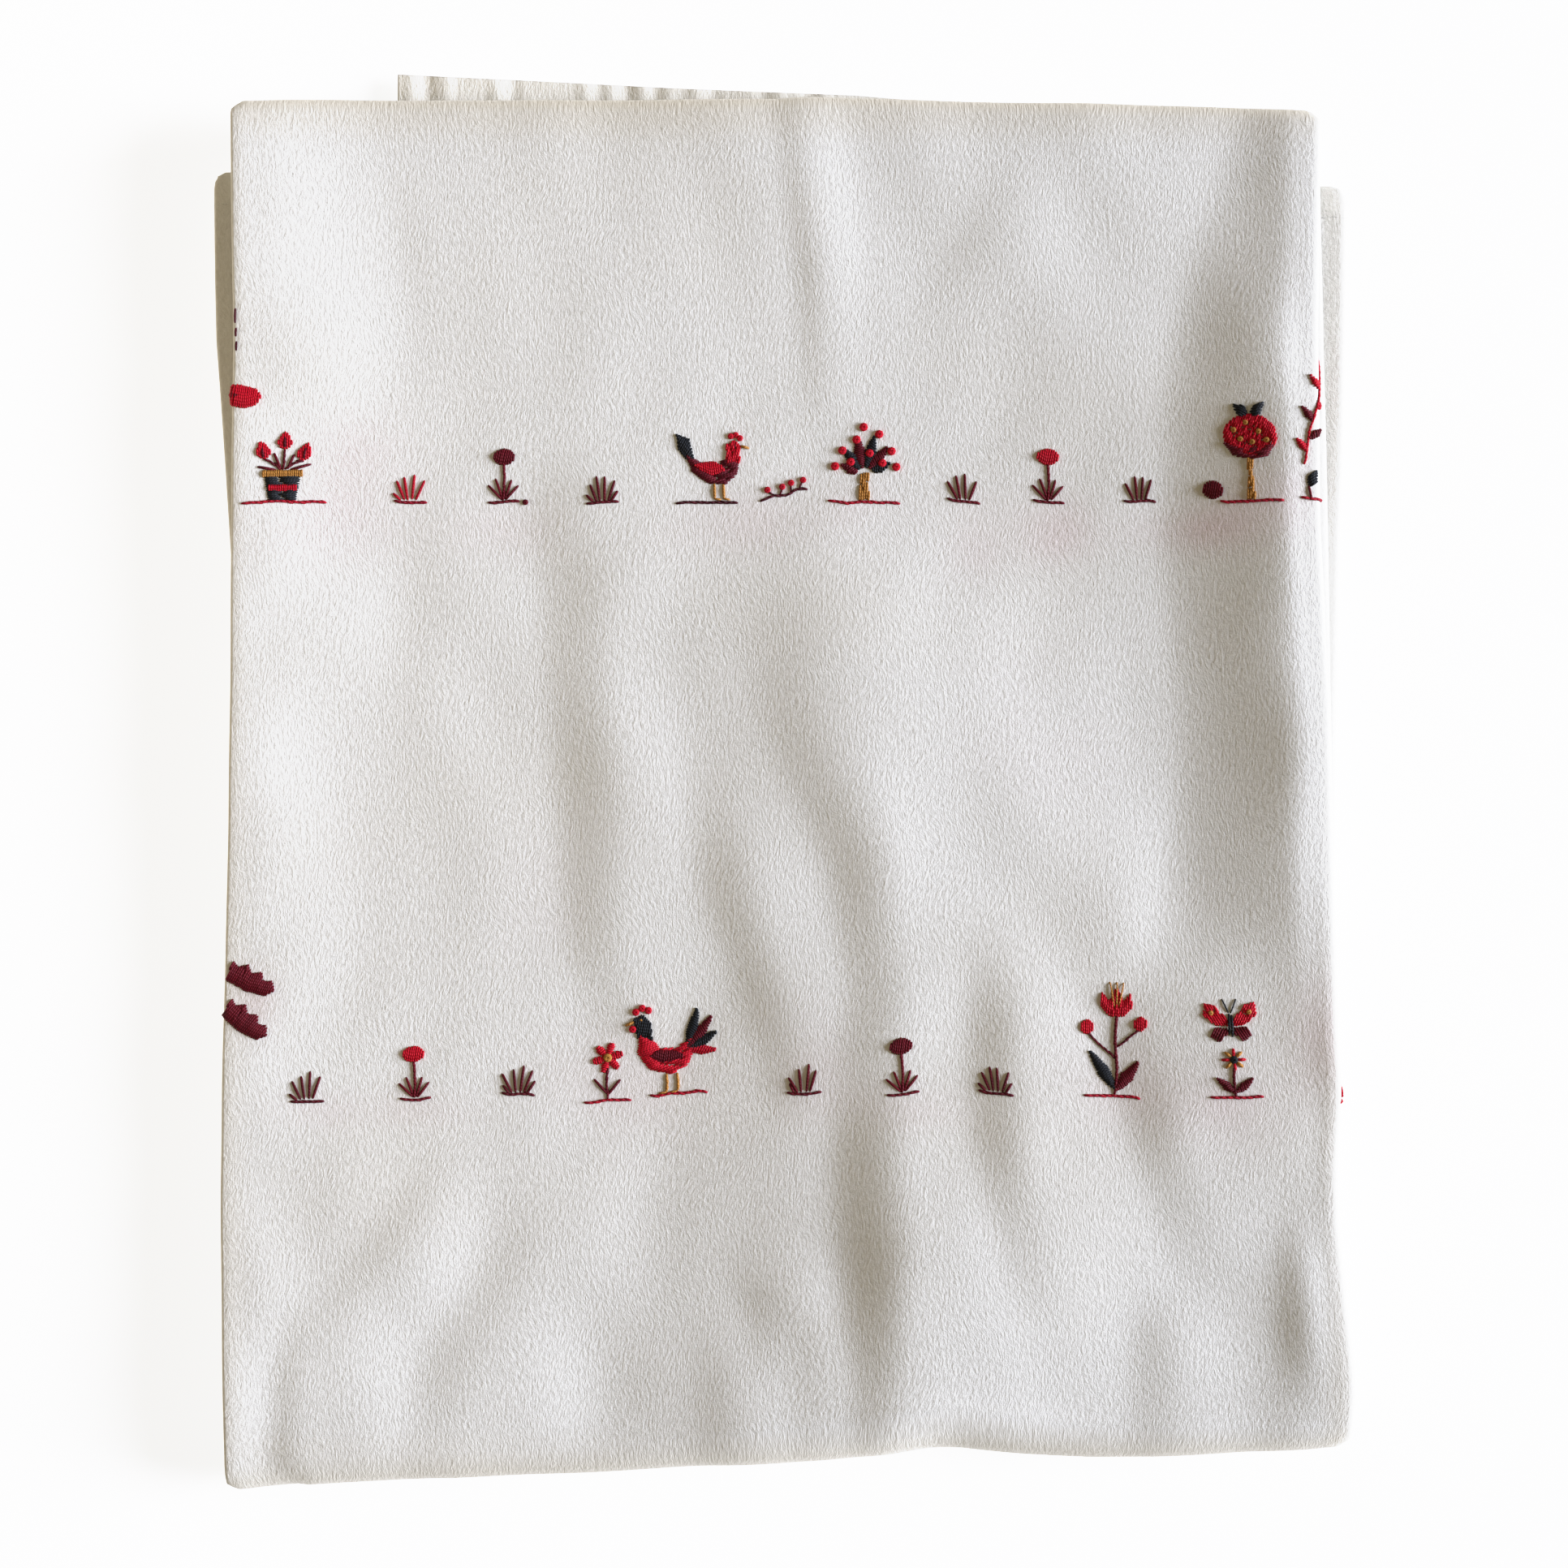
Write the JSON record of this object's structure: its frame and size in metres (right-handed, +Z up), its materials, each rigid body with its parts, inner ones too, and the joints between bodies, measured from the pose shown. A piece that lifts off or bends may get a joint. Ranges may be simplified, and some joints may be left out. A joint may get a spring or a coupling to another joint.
{
  "type": "tablecloth",
  "caption": "Large white tablecloth with two rows of small coloured hand embroidery, folded in four each way into a flat rectangular bundle.",
  "frame": {"origin": "on the table under the middle of the folded bundle's outline", "axes": "+X to the right of the motifs, +Y towards the motifs' heads and the hemmed end, +Z up out of the embroidered face"},
  "size_m": [0.4194, 0.523, 0.029],
  "materials": {
    "cloth": "matte, slightly fuzzy plain-weave cotton and linen, off-white",
    "red_thread": "stranded embroidery cotton, soft sheen, bright red",
    "maroon_thread": "stranded embroidery cotton, soft sheen, maroon",
    "black_thread": "stranded embroidery cotton, soft sheen, black",
    "ochre_thread": "stranded embroidery cotton, soft sheen, ochre",
    "sewing_thread": "white sewing cotton"
  },
  "bodies": {
    "root": {"cloth": "cloth"}
  },
  "joints": []
}
